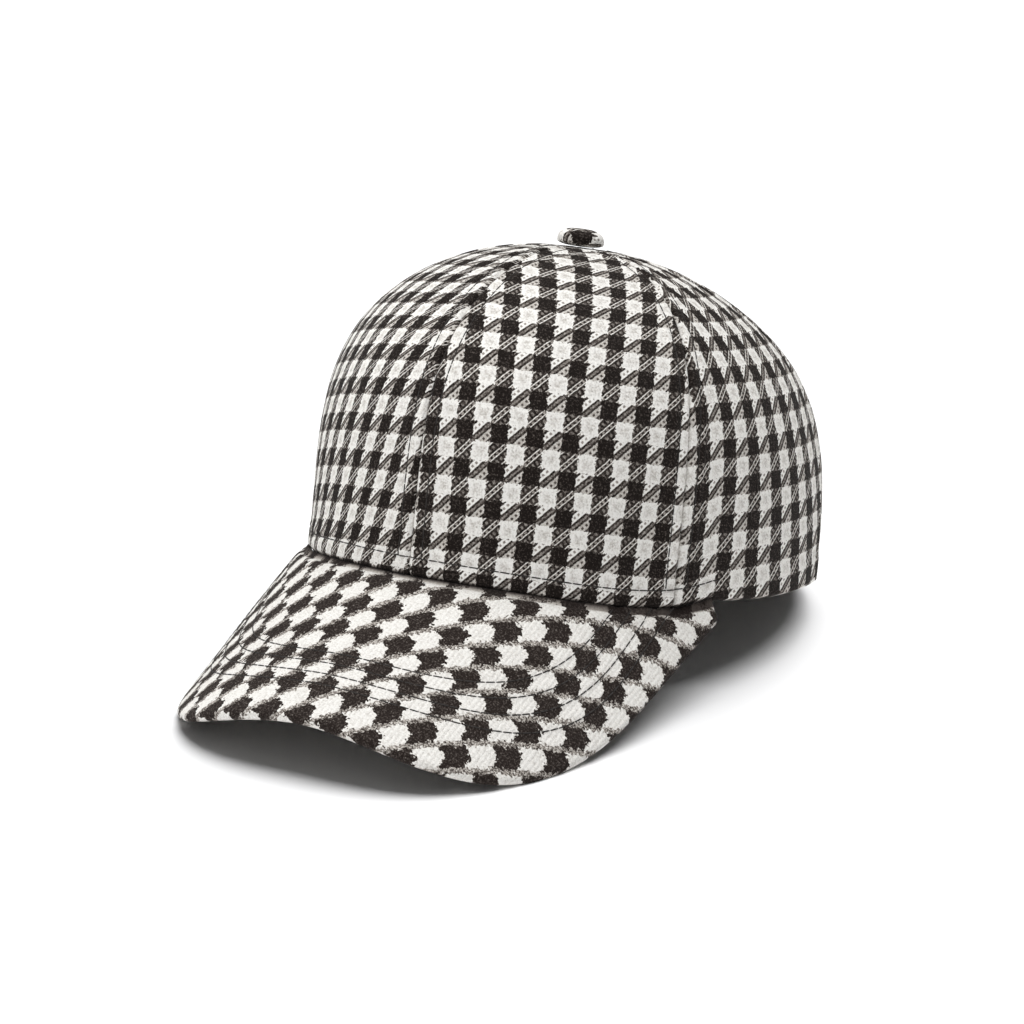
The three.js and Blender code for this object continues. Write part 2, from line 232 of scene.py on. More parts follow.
@dataclass(frozen=True)
class HoundstoothWool:
    """Wool cloth in dark and light checks joined by slanting teeth.

    The piece's weave coordinates count whole checks, with a dark one round each whole number. A second
    layer carries painted shade that darkens the cloth in the fold between crown and brim.
    """

    name: str = "houndstooth_wool"
    dark: Colour = (0.0065, 0.0041, 0.0032)
    dusk: Colour = (0.085, 0.071, 0.063)
    stone: Colour = (0.46, 0.425, 0.385)
    light: Colour = (0.90, 0.885, 0.85)
    ragged: float = 0.075
    frayed: float = 1.3
    evenness: float = 0.22
    lump_size: float = 1.25 * MM
    fleck_size: float = 0.62 * MM
    cloud_size: float = 30 * MM
    clouds: float = 0.10
    edge: float = 0.016
    yarns: float = 8.0
    tooth: float = 0.74
    tipped: float = 0.30
    mottle: float = 0.46
    shaded: float = 0.24
    worn: float = 0.15
    upright: float = 0.0
    footed: float = 0.28
    gap: float = 0.10
    beige: float = 0.46
    # How strongly the painted shade in the fold between crown and brim darkens the cloth.
    crease_shade_strength: float = 0.8

    def material(self) -> bpy.types.Material:
        """Return the cloth as a material."""
        shader = Shader(self.name)
        place = shader.node("ShaderNodeTexCoord").outputs["Object"]
        weave = shader.laid(WEAVE)
        coarse = shader.grain(place, self.lump_size, 1.0)
        fine = shader.grain(place, self.fleck_size, 2.0)
        ragged, even = weave, weave
        for source, reach in ((coarse, self.ragged * 2), (fine, self.ragged * self.frayed)):
            centred = shader.vectors("SUBTRACT", source.outputs["Color"], (0.5, 0.5, 0.5))
            moved = shader.vectors("MULTIPLY", centred, (reach, reach, 0.0))
            ragged = shader.vectors("ADD", ragged, moved)
            moved = shader.vectors("MULTIPLY", moved, (self.evenness, self.evenness, 0.0))
            even = shader.vectors("ADD", even, moved)
        speck = Signal(shader, fine.outputs[0])
        lump = Signal(shader, coarse.outputs[0])
        across, up, _ = shader.parts(ragged)
        if self.upright:
            lightness, over = self._lobed(across, up, speck, lump)
        else:
            lightness, over = self._toothed(across, up, shader.parts(even), speck, lump)
        # Painted shade: the cloth is darkened where the mesh's shade layer marks the fold between crown
        # and brim.
        crease = shader.parts(shader.laid(CREASE_SHADE))[0]
        lightness = lightness * (1.0 - crease * self.crease_shade_strength)
        cloud = Signal(shader, shader.grain(place, self.cloud_size, 2.0).outputs[0])
        shade = (lightness * (1.0 + (cloud - 0.5) * self.clouds)).limited()
        stops = [(0.0, self.dark), (0.28, self.dusk), (0.64, self.stone), (0.93, self.light)]
        ramp = shader.node("ShaderNodeValToRGB", {"stops": stops}, {0: shade})
        height = self._relief(shader, weave, over, speck, lump)
        bump = shader.node(
            "ShaderNodeBump", None, {"Strength": 0.7, "Distance": 0.5 * MM, "Height": height}
        )
        return shader.finish({
            "Base Color": ramp.outputs["Color"],
            "Roughness": 0.95,
            "Specular IOR Level": 0.06,
            "Sheen Weight": 0.03,
            "Sheen Roughness": 0.6,
            "Normal": bump.outputs["Normal"],
        })

    def _lobed(
        self, across: Signal, up: Signal, speck: Signal, lump: Signal
    ) -> tuple[Signal, Signal]:
        """Work out how light the cloth is where solid lobed checks stand in slanting rows.

        Args:
            across: The weave coordinate across, with ragged edges.
            up: The weave coordinate up, with ragged edges.
            speck: Fine noise, for flecks of the other yarn.
            lump: Coarser noise, for uneven yarn.

        Returns:
            The lightness from 0 to 1, and a mask of the beige lines between the rows.
        """
        fleck = (speck - 0.5) * 2.0
        row = (across - up).around_zero()
        check = (up + row * self.upright + abs(row) * self.footed).around_zero()
        line = (0.5 - abs(row)).within(self.gap, 0.03)
        pale = 0.88 + fleck * 0.28 + (lump - 0.5) * 0.20
        dark = 0.03 + (speck - 0.50).then("MAXIMUM", 0.0) * 1.5
        lightness = pale.toward(dark, check.within(HALF_CHECK, self.edge))
        return lightness.toward(self.beige + fleck * 1.1, line), line

    def _toothed(
        self, across: Signal, up: Signal, even: tuple[Signal, ...], speck: Signal, lump: Signal
    ) -> tuple[Signal, Signal]:
        """Work out how light the cloth is where slanting teeth join the checks.

        Args:
            across: The weave coordinate across, with ragged edges.
            up: The weave coordinate up, with ragged edges.
            even: Both coordinates with nearly even edges, for the slanting lines.
            speck: Fine noise, for flecks of the other yarn.
            lump: Coarser noise, for uneven yarn.

        Returns:
            The lightness from 0 to 1, and a mask of where the crossing yarns lie on top.
        """
        fleck = (speck - 0.5) * 2.0
        warp = across.around_zero().within(HALF_CHECK, self.edge)
        weft = up.around_zero().within(HALF_CHECK, self.edge)
        step = (even[0] * 2.0 + 0.5).then("FRACT") - (even[1] * 2.0 + 0.5).then("FRACT")
        slant = step.around_zero()
        over = slant.within(HALF_CHECK, self.edge * 2)
        shady = step.then("GREATER_THAN", 0.0)
        dots = ((even[0] + even[1]) * 5.0).around_zero().within(0.24, 0.14)
        pair = (abs(slant) - 0.155).within(0.045, 0.04)
        middle = slant.within(0.09, 0.06)
        tooth = pair * self.tooth + middle * (1.0 - dots) * self.tooth * 0.5
        corner = 0.5 - abs(slant)
        tips = corner.within(0.14, 0.06) * (1.0 - dots) * self.tipped
        upper = 0.10 + over * tooth + tips + fleck * 0.46
        between = corner.within(0.09, 0.06) * dots
        pale = 0.95 - shady * self.shaded - between * self.mottle
        stripe = 0.13 + middle * 0.27 + fleck * 0.24
        lower = pale.toward(stripe, over) + fleck * 0.30
        rim = abs(across.around_zero()).then("MINIMUM", abs(up.around_zero()))
        core = ((rim - 0.30) * 7.0).limited()
        plain = 0.94 - core * self.worn + fleck * 0.32 + (lump - 0.5) * 0.24
        dark = 0.02 + (speck - 0.53).then("MAXIMUM", 0.0) * 1.5
        lightness = plain.toward(dark, warp * weft)
        lightness = lightness.toward(upper, warp * (1.0 - weft))
        lightness = lightness.toward(lower, weft * (1.0 - warp))
        return lightness, over

    def _relief(
        self, shader: Shader, weave: bpy.types.NodeSocket, over: Signal, speck: Signal, lump: Signal
    ) -> Signal:
        """Return the height of the yarns over the cloth, from 0 to 1."""
        across, up, _ = shader.parts(weave)
        standing = 1.0 - abs((across * self.yarns).around_zero()) * 2.0
        lying = 1.0 - abs((up * self.yarns).around_zero()) * 2.0
        yarn = standing.toward(lying, over).then("POWER", 0.6)
        return yarn * 0.45 + speck * 0.85 + lump * 0.35


@dataclass(frozen=True)
class SewingThread:
    """Fine dark sewing thread of two twisted plies."""

    name: str = "sewing_thread"
    shade: Colour = (0.009, 0.007, 0.006)
    glint: Colour = (0.028, 0.023, 0.020)

    def material(self) -> bpy.types.Material:
        """Return the thread as a material."""
        shader = Shader(self.name)
        around, along, _ = shader.parts(shader.laid(WEAVE))
        ply = abs((around * 2.0 + along * 9.0).around_zero()) * 2.0
        bump = shader.node("ShaderNodeBump", None, {"Strength": 0.5, "Distance": 0.1 * MM, "Height": ply})
        return shader.finish({
            "Base Color": shader.tint(ply, self.glint, self.shade),
            "Roughness": 0.7,
            "Normal": bump.outputs["Normal"],
        })


@dataclass(frozen=True)
class PaleSurface:
    """The plain pale surface that the cap lies on."""

    name: str = "pale_surface"
    shade: Colour = (0.93, 0.93, 0.935)

    def material(self) -> bpy.types.Material:
        """Return the surface as a material."""
        return Shader(self.name).finish({
            "Base Color": (*self.shade, 1.0),
            "Roughness": 0.9,
            "Specular IOR Level": 0.0,
        })


class Measured:
    """A curve that is measured along its length."""

    def __init__(self, point: Callable[[float], Vector], samples: int = 200) -> None:
        """Measure a curve.

        Args:
            point: The curve's point for a number from 0 to 1.
            samples: How many steps it is measured in.
        """
        self.point = point
        self.samples = samples
        self.marks = [0.0]
        last = point(0.0)
        for i in range(1, samples + 1):
            here = point(i / samples)
            self.marks.append(self.marks[-1] + (here - last).length)
            last = here
        self.length = self.marks[-1]

    def number(self, distance: float) -> float:
        """Return the number from 0 to 1 at a distance along the curve."""
        i = min(max(bisect_left(self.marks, distance), 1), self.samples)
        low, high = self.marks[i - 1], self.marks[i]
        share = (distance - low) / (high - low) if high > low else 0.0
        return (i - 1 + min(max(share, 0.0), 1.0)) / self.samples

    def distance(self, number: float) -> float:
        """Return the distance along the curve at a number from 0 to 1."""
        place = min(max(number, 0.0), 1.0) * self.samples
        i = min(int(place), self.samples - 1)
        return mix(self.marks[i], self.marks[i + 1], place - i)

    def at(self, distance: float) -> Vector:
        """Return the point at a distance along the curve."""
        return self.point(self.number(distance))


@dataclass(frozen=True)
class CapForm:
    """The plain surfaces of the cap, as its solids have them, in metres and radians.

    Only the brim is about 2 mm longer here, because the pictured edge lies that much farther out.
    The cap is drawn upright with its rim near z = 0, and then leaned back on to the table.
    Angle 0 is the front of the rim, and a quarter turn is the wearer's left.
    """

    half_width: float = 81.7 * MM
    half_length: float = 105.8 * MM
    height: float = 105.7 * MM
    apex_forward: float = 19.6 * MM
    shoulder_swell: float = 0.09
    fullness: tuple[float, float, float, float] = (2.21, 2.3, 2.3, 2.43)
    seams: tuple[tuple[float, float], ...] = ((0.0, 0.0), (60.4, 82.9), (120.0, 134.0), (180.0, 180.0))
    brim_length: float = 56.0 * MM
    brim_half_width: float = 78.5 * MM
    brim_droop: float = math.radians(39)
    brim_arch: float = 55.9 * MM
    brim_squareness: float = 0.27
    brim_set: float = 7.05 * MM
    brim_corner: float = 2.93
    brim_widening: float = 0.35
    brim_root: float = math.radians(70)
    brim_end: float = 2.6 * MM
    brim_turn: float = 16 * MM
    brim_taper: float = 22 * MM
    brim_end_share: float = 0.35
    brim_half_thickness: float = 1.95 * MM
    root_clearance: float = 0.7 * MM
    rim_easing: float = math.radians(51)
    lean: float = 0.26449575
    shift: float = 26.73096 * MM
    pressed: float = 1.3 * MM

    def fullness_at(self, angle: float) -> float:
        """Return how square the upright section is at an angle: 2 is an ellipse."""
        front, front_side, rear_side, back = self.fullness
        mean = (front + 2 * front_side + 2 * rear_side + back) / 6
        first = (front + front_side - rear_side - back) / 3
        second = (front - front_side - rear_side + back) / 3
        third = (front - 2 * front_side + 2 * rear_side - back) / 6
        return mean + first * math.cos(angle) + second * math.cos(2 * angle) + third * math.cos(3 * angle)

    def rim_plan(self, angle: float, outward: float = 0.0) -> Vector:
        """Return the rim seen from above, or a line beside it."""
        x = self.half_width * math.sin(angle)
        y = -self.half_length * math.cos(angle)
        normal = Vector((x / self.half_width**2, y / self.half_length**2)).normalized()
        return Vector((x, y)) + normal * outward

    def brim_bend(self, x: float) -> float:
        """Return how far the brim has dropped at a distance from its middle."""
        reach = x / self.brim_half_width
        return self.brim_arch * (mix(reach**2, reach**4, self.brim_squareness))

    def brim_height(self, x: float, y: float) -> float:
        """Return the height of the brim's middle surface."""
        return math.tan(self.brim_droop) * (y + self.half_length) - self.brim_set - self.brim_bend(x)

    @lru_cache(maxsize=None)
    def rim_height(self, angle: float) -> float:
        """Return the height of the crown's lower edge, which follows the brim in front."""
        turn = abs(angle)
        foot = self.rim_plan(min(turn, self.brim_root))
        return self.brim_height(foot.x, foot.y) * (1 - smooth((turn - self.brim_root) / self.rim_easing))

    def crown_point(self, angle: float, climb: float) -> Vector:
        """Return a point of the crown, from climb 0 at the rim to a quarter turn at the top."""
        full = self.fullness_at(angle)
        inward = max(math.cos(climb), 0.0) ** (2 / full)
        upward = max(math.sin(climb), 0.0) ** (2 / full)
        swell = inward * (1 + self.shoulder_swell * math.sin(2 * climb) ** 2)
        return Vector((
            self.half_width * math.sin(angle) * swell,
            -self.half_length * math.cos(angle) * swell - self.apex_forward * upward**1.5,
            self.height * upward + self.rim_height(angle) * (1 - upward),
        ))

    def crown_normal(self, angle: float, climb: float) -> Vector:
        """Return the outward direction of the crown."""
        step = 0.01
        low, high = max(climb - step, 0.0), min(climb + step, QUARTER - 0.002)
        rise = self.crown_point(angle, high) - self.crown_point(angle, low)
        turn = self.crown_point(angle + step, climb) - self.crown_point(angle - step, climb)
        return turn.cross(rise).normalized()

    def seam_angle(self, seam: int, climb: float) -> float:
        """Return a seam's angle at a climb; a seam with a minus sign is on the right."""
        low, high = self.seams[abs(seam)]
        angle = math.radians(mix(low, high, (climb / QUARTER) ** 2))
        return math.copysign(angle, seam)

    def top_climb(self, hole: float) -> float:
        """Return the climb at which the crown is only as wide as a hole of that radius."""
        return math.acos((hole / self.half_width) ** (min(self.fullness) / 2))

    def to_rest(self, point: Vector) -> Vector:
        """Lean a point back on to the table, and press it flat where it would sink in."""
        cosine, sine = math.cos(self.lean), math.sin(self.lean)
        y = point.y - self.half_length
        z = -y * sine + point.z * cosine - self.pressed
        return Vector((point.x, y * cosine + point.z * sine + self.half_length + self.shift, max(z, 0.0)))

    def edge_plan(self, number: float) -> Vector:
        """Return the brim's outer edge seen from above, from its right end to its left end."""
        end = self.rim_plan(self.brim_root, self.root_clearance + self.brim_end)
        depth = self.brim_length + end.y + self.half_length
        turn = (2 * number - 1) * QUARTER
        across = math.copysign(abs(math.sin(turn)) ** (2 / self.brim_corner), turn)
        ahead = max(math.cos(turn), 0.0) ** (2 / self.brim_corner)
        widened = min(ahead / self.brim_widening, 1.0)
        half = mix(end.x, self.brim_half_width, widened * (2 - widened))
        return Vector((half * across, end.y - depth * ahead))

    @cached_property
    def edge(self) -> Measured:
        """The brim's outer edge, measured along its length."""
        return Measured(self.edge_plan, 600)

    @lru_cache(maxsize=None)
    def brim_line(self, along: float) -> tuple[Vector, Vector]:
        """Return the root and edge points of the brim's line, from 0 at its right end to 1."""
        root = self.rim_plan(self.brim_root * (2 * along - 1), self.root_clearance)
        return root, self.edge.at(along * self.edge.length)

    def brim_point(self, along: float, share: float, offset: float) -> Vector:
        """Return a point over or under the brim's middle surface, in the upright cap.

        Args:
            along: The place along the edge, from 0 at the right end to 1 at the left.
            share: The place from the root, 0, to the outer edge, 1.
            offset: How far the point lies over the middle surface.
        """
        root, edge = self.brim_line(along)
        width = (edge - root).length
        x, y = root.lerp(edge, share)
        step = 0.5 * MM
        slope_x = (self.brim_height(x + step, y) - self.brim_height(x - step, y)) / (2 * step)
        slope_y = math.tan(self.brim_droop)
        steep = math.sqrt(1 + slope_x**2 + slope_y**2)
        square = Vector((-slope_x, -slope_y, 1.0)) / steep
        direction = Vector((0.0, 0.0, steep)).lerp(square, smooth(width * share / self.brim_turn))
        return Vector((x, y, self.brim_height(x, y))) + direction * offset * self.thinned(width)

    def thinned(self, width: float) -> float:
        """Return the share of its thickness that the brim has where it is that wide."""
        return mix(self.brim_end_share, 1.0, smooth(width / self.brim_taper))


@dataclass(frozen=True)
class Layout:
    """How the checks lie on one cut piece, with the stretch of its cloth.

    Each weave coordinate is a sum of 1, u, v, uu, uv and vv, where u and v are the places
    across and up the piece in units of 50 mm.
    """

    across: tuple[float, ...]
    up: tuple[float, ...]
    unit: float = 50 * MM

    def weave(self, across: float, up: float) -> tuple[float, float]:
        """Return the weave coordinates of a place on the piece, in whole checks."""
        u, v = across / self.unit, up / self.unit
        terms = (1.0, u, v, u * u, u * v, v * v)
        return (
            sum(share * term for share, term in zip(self.across, terms)),
            sum(share * term for share, term in zip(self.up, terms)),
        )


class Border(Enum):
    """The two long sides of a panel, as the share of its width where each lies."""

    RIGHT = 0.0
    LEFT = 1.0


@dataclass(frozen=True)
class SeamWork:
    """How the panels are sewn: the roll into each seam, the allowance and the stitched lines."""

    gap: float = 0.04 * MM
    dip: float = 0.5 * MM
    roll: float = 1.3 * MM
    allowance: float = 6.5 * MM
    pad: float = 0.45 * MM
    stitch_line: float = 4.4 * MM
    groove: float = 0.32 * MM
    groove_width: float = 0.9 * MM
    hem_line: float = 7.2 * MM
    hem_fold: float = 3.0 * MM
    hem_tuck: float = 2.3 * MM
    hem_pad: float = 0.3 * MM
    back_fold: float = 0.8 * MM
    pad_end: float = 1.4 * MM
    hem_pad_start: float = 1.5 * MM
    hem_pad_end: float = 2.0 * MM

    def across_seam(self, distance: float, width: float) -> float:
        """Return the height of the cloth at a distance from the nearer seam."""
        room = min(1.0, width / (4 * self.allowance))
        rising = smooth(distance / self.roll)
        pad = self.pad * rising * (1 - smooth((distance - self.allowance) / self.pad_end))
        groove = self.groove * valley(distance - self.stitch_line, self.groove_width)
        return (pad - groove - self.dip * (1 - rising)) * room

    def above_hem(self, height: float, ahead: float) -> float:
        """Return the height of the cloth at a height above the rim.

        Args:
            height: The distance above the rim.
            ahead: 1 over the brim, and 0 round the back.
        """
        fold = mix(self.back_fold, self.hem_fold, ahead)
        tuck = self.hem_tuck * (1 - smooth(height / fold))
        past_line = height - self.hem_line - self.hem_pad_start
        pad = self.hem_pad * (1 - smooth(past_line / self.hem_pad_end))
        groove = ahead * self.groove * valley(height - self.hem_line, self.groove_width)
        return pad - groove - tuck


@dataclass
class CrownPanel:
    """One of the crown's six panels, cut between two seams."""

    name: str
    seams: tuple[int, int]
    layout: Layout
    form: CapForm
    work: SeamWork = field(default_factory=SeamWork)
    wall: float = 2.2 * MM
    hole: float = 3.0 * MM
    columns: int = 104
    rows: int = 132
    crowding: float = 0.55
    front_fade: float = math.radians(6)
    # Painted shade at the foot of the crown over the brim: full this far up, then fading over the next
    # span.
    crease_shade_start: float = 0.9 * MM
    crease_shade_fade: float = 1.3 * MM
    button_room: float = 9.0 * MM
    swell_span: float = 38 * MM
    swell: float = 0.55 * MM
    swell_fade: float = 12 * MM
    pucker_span: float = 7 * MM
    pucker: float = 0.16 * MM
    pucker_width: float = 5 * MM
    pucker_start: tuple[float, float, float] = (7.0, 3.0, 5.0)

    @cached_property
    def top(self) -> float:
        """The climb at which the panel ends."""
        return self.form.top_climb(self.hole)

    @cached_property
    def middle(self) -> Measured:
        """The line up the middle of the panel."""
        def point(number: float) -> Vector:
            """Return the point at a number from 0 to 1."""
            climb = number * self.top
            first, second = (self.form.seam_angle(seam, climb) for seam in self.seams)
            return self.form.crown_point((first + second) / 2, climb)
        return Measured(point, 400)

    def ring(self, height: float) -> tuple[Measured, float, float, float]:
        """Return a line across the panel.

        Args:
            height: Its distance up the panel's middle line.

        Returns:
            The measured line, its climb, and its first and last angle.
        """
        if height not in self._rings:
            climb = self.middle.number(height) * self.top
            first, second = (self.form.seam_angle(seam, climb) for seam in self.seams)
            line = Measured(lambda n: self.form.crown_point(mix(first, second, n), climb), 40)
            self._rings[height] = (line, climb, first, second)
        return self._rings[height]

    @cached_property
    def _rings(self) -> dict[float, tuple[Measured, float, float, float]]:
        """The lines across the panel that have been measured."""
        return {}

    def place(self, height: float, distance: float) -> tuple[float, float, Vector]:
        """Return the angle, climb and plain point at a height and a distance from the first seam."""
        line, climb, first, second = self.ring(height)
        angle = mix(first, second, line.number(distance))
        return angle, climb, self.form.crown_point(angle, climb)

    def surface(self, height: float, share: float) -> tuple[Vector, Woven]:
        """Return a finished point of the cloth, its weave coordinates and its painted shade in the fold
        over the brim.

        Args:
            height: The distance up the panel's middle line.
            share: The share of the panel's width from its first seam.
        """
        line = self.ring(height)[0]
        width = line.length - self.work.gap
        distance = self.work.gap / 2 + width * share
        angle, climb, plain = self.place(height, distance)
        from_seam = width * min(share, 1 - share)
        above = (plain - self.form.crown_point(angle, 0.0)).length
        ahead = 1 - smooth((abs(angle) - self.form.brim_root) / self.front_fade)
        raised = self.work.across_seam(from_seam, width) + self.work.above_hem(above, ahead)
        raised += self.softness(plain, from_seam)
        point = self.form.to_rest(plain + self.form.crown_normal(angle, climb) * raised)
        # Painted shade: darkest at the rim over the brim, gone a couple of millimetres up.
        crease = ahead * (1 - smooth((above - self.crease_shade_start) / self.crease_shade_fade))
        return point, (*self.layout.weave(distance - line.distance(0.5), height), crease)

    def softness(self, point: Vector, from_seam: float) -> float:
        """Return how far the cloth stands off its plain shape, as soft cloth does."""
        inland = smooth(from_seam / self.swell_fade)
        broad = noise.noise(point / self.swell_span) * self.swell * inland
        pucker = noise.noise(point / self.pucker_span + Vector(self.pucker_start)) * self.pucker
        return broad + pucker * valley(from_seam - self.work.stitch_line, self.pucker_width)

    def build(self, cloth: bpy.types.Material) -> bpy.types.Object:
        """Return the panel as an object with a wall."""
        mesh = bmesh.new()
        bmesh.ops.create_grid(mesh, x_segments=self.columns, y_segments=self.rows, size=0.5)
        mesh.verts.index_update()
        places = []
        for vert in mesh.verts:
            even = vert.co.x + 0.5
            share = even - self.crowding * math.sin(2 * math.pi * even) / (2 * math.pi)
            height = round((vert.co.y + 0.5) * self.rows) / self.rows * self.middle.length
            vert.co, woven = self.surface(height, min(max(share, 0.0), 1.0))
            places.append(woven)
        weave_on(mesh, places)
        self.skin = BVHTree.FromBMesh(mesh)
        return dressed(mesh, self.name, cloth, self.wall)

    def stitch_path(self, border: Border) -> Measured:
        """Return the stitched line beside one of the panel's seams, from the hem to the button."""
        def point(number: float) -> Vector:
            """Return the point at a number from 0 to 1."""
            height = mix(self.work.hem_line, self.middle.length - self.button_room, number)
            width = self.ring(height)[0].length
            inset = min(self.work.stitch_line, width * 0.3)
            distance = inset if border is Border.RIGHT else width - inset
            return self.form.to_rest(self.place(height, distance)[2])
        return Measured(point, 120)


def weave_on(mesh: bmesh.types.BMesh, places: list[Woven]) -> None:
    """Store the cloth's coordinates and its painted shade on a mesh, and smooth it.

    Args:
        mesh: The mesh.
        places: For each vertex its weave coordinates, and from 0 to 1 how much painted shade darkens it in
            the fold between crown and brim.
    """
    weave = mesh.loops.layers.uv.new(WEAVE)
    # A second layer carries the painted shade.
    crease = mesh.loops.layers.uv.new(CREASE_SHADE)
    for face in mesh.faces:
        face.smooth = True
        for loop in face.loops:
            across, up, depth = places[loop.vert.index]
            loop[weave].uv = (across, up)
            loop[crease].uv = (depth, 0.0)


def dressed(
    mesh: bmesh.types.BMesh, name: str, material: bpy.types.Material, wall: float = 0.0
) -> bpy.types.Object:
    """Make an object of a finished bmesh.

    Args:
        mesh: The bmesh, which is freed.
        name: The piece's name.
        material: Its finish.
        wall: The thickness that a cloth gets behind its face, or 0 for a closed piece.

    Returns:
        The object, at the origin.
    """
    data = bpy.data.meshes.new(name)
    mesh.to_mesh(data)
    mesh.free()
    data.materials.append(material)
    piece = bpy.data.objects.new(name, data)
    bpy.context.scene.collection.objects.link(piece)
    if wall:
        solid = piece.modifiers.new("wall", "SOLIDIFY")
        solid.thickness = wall
        solid.offset = -1.0
    return piece


def belongs(piece: bpy.types.Object, slot: str, *nodes: str) -> bpy.types.Object:
    """Let a piece ride with the cap, and stand for its solids, which are hidden."""
    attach(piece, "root")
    if nodes:
        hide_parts(*nodes)
    log.info("%s: %d faces", piece.name, len(piece.data.polygons))
    return piece


@dataclass
class TopStitching:
    """Rows of sewing thread that lie in the cloth."""

    name: str
    slot: str
    length: float = 3.3 * MM
    space: float = 0.12 * MM
    radius: float = 0.25 * MM
    sunk: float = 0.03 * MM
    shortest: float = 0.6 * MM
    bluntness: float = 0.4
    sides: int = 6
    rings: int = 6

    def __post_init__(self) -> None:
        """Start with no stitches."""
        self.mesh = bmesh.new()
        self.mesh.loops.layers.uv.new(WEAVE)

    def sew(self, path: Measured, skins: Iterable[BVHTree]) -> None:
        """Sew a row of stitches.

        Args:
            path: The line to follow.
            skins: The cloths it may lie on.
        """
        skins = list(skins)
        count = max(int(path.length / (self.length + self.space)), 1)
        pitch = path.length / count
        for i in range(count):
            start = path.at(i * pitch + self.space / 2)
            end = path.at((i + 1) * pitch - self.space / 2)
            self._stitch(start, end, skins)

    def _stitch(self, start: Vector, end: Vector, skins: list[BVHTree]) -> None:
        """Lay one stitch between two points, on the nearest cloth."""
        start, end = (self._nearest(point, skins)[0] for point in (start, end))
        middle, normal = self._nearest((start + end) / 2, skins)
        along = end - start
        half = along.length / 2
        if along.length < self.shortest:
            return
        along.normalize()
        aside = normal.cross(along).normalized()
        upright = along.cross(aside)
        centre = middle - upright * self.sunk
        turn = Matrix((aside, upright, along)).transposed().to_4x4()
        size = Matrix.Diagonal((self.radius, self.radius, half, 1.0))
        made = bmesh.ops.create_uvsphere(
            self.mesh, u_segments=self.sides, v_segments=self.rings, radius=1.0, calc_uvs=True
        )
        for vert in made["verts"]:
            wide = math.hypot(vert.co.x, vert.co.y)
            if wide > 0.01:
                fuller = wide**self.bluntness / wide
                vert.co.x *= fuller
                vert.co.y *= fuller
        bmesh.ops.transform(
            self.mesh, matrix=Matrix.Translation(centre) @ turn @ size, verts=made["verts"]
        )

    @staticmethod
    def _nearest(point: Vector, skins: list[BVHTree]) -> tuple[Vector, Vector]:
        """Return the nearest point of several cloths, and the outward direction there."""
        found = [skin.find_nearest(point) for skin in skins]
        place, normal, _, _ = min(found, key=lambda hit: hit[3])
        return place, normal

    def build(self, thread: bpy.types.Material) -> bpy.types.Object:
        """Return all the stitches as one piece."""
        for face in self.mesh.faces:
            face.smooth = True
        return belongs(dressed(self.mesh, self.name, thread), self.slot)


@dataclass
class Crown:
    """The six panels and their topstitching."""

    form: CapForm
    hem_end: float = math.radians(1.5)
    plain: Layout = Layout(
        (0.0, 4.20, 0.0, 0.0, 0.0, 0.0), (-3.25, 0.0, 3.97, 0.0, 0.0, 0.0)
    )
    front_left: Layout = Layout(
        (-0.457, 4.311, -0.142, -0.129, -0.086, 0.122), (-8.240, 0.007, 4.056, 0.142, 0.079, -0.013)
    )
    front_right: Layout = Layout(
        (-1.661, 5.307, -1.812, -0.039, 0.169, 0.408), (-6.864, -0.311, 4.101, 0.182, -0.230, 0.017)
    )
    side_left: Layout = Layout(
        (3.060, 2.989, 0.457, -0.196, 0.582, -0.082), (-5.262, -0.268, 3.944, 0.087, 0.014, 0.043)
    )

    def build(self, cloth: bpy.types.Material, thread: bpy.types.Material) -> None:
        """Build the panels, and sew them beside the seams and along the hem."""
        cuts = [
            ("crown_front_left", (0, 1), self.front_left),
            ("crown_side_left", (1, 2), self.side_left),
            ("crown_back_left", (2, 3), self.plain),
            ("crown_front_right", (-1, 0), self.front_right),
            ("crown_side_right", (-2, -1), self.plain),
            ("crown_back_right", (-3, -2), self.plain),
        ]
        panels = [CrownPanel(name, seams, layout, self.form) for name, seams, layout in cuts]
        rows = TopStitching("crown_topstitching", "crown_cloth")
        for panel in panels:
            belongs(panel.build(cloth), "crown_cloth", panel.name)
            for border in Border:
                rows.sew(panel.stitch_path(border), [panel.skin])
        rows.build(thread)
        hem = TopStitching("hem_topstitching", "crown_cloth")
        hem.sew(self.hem_path(panels[0].work), [panel.skin for panel in panels])
        hem.build(thread)

    def hem_path(self, work: SeamWork) -> Measured:
        """Return the stitched line above the rim, from one end of the brim to the other."""
        reach = self.form.brim_root + self.hem_end

        def point(number: float) -> Vector:
            """Return the point at a number from 0 to 1, found by halving the climb."""
            angle = mix(-reach, reach, number)
            foot = self.form.crown_point(angle, 0.0)
            low, high = 0.0, 0.5
            for _ in range(24):
                climb = (low + high) / 2
                if (self.form.crown_point(angle, climb) - foot).length < work.hem_line:
                    low = climb
                else:
                    high = climb
            return self.form.to_rest(self.form.crown_point(angle, high))
        return Measured(point, 160)


class Face(Enum):
    """The two faces of the brim, as the sign of their side."""

    OVER = 1.0
    UNDER = -1.0


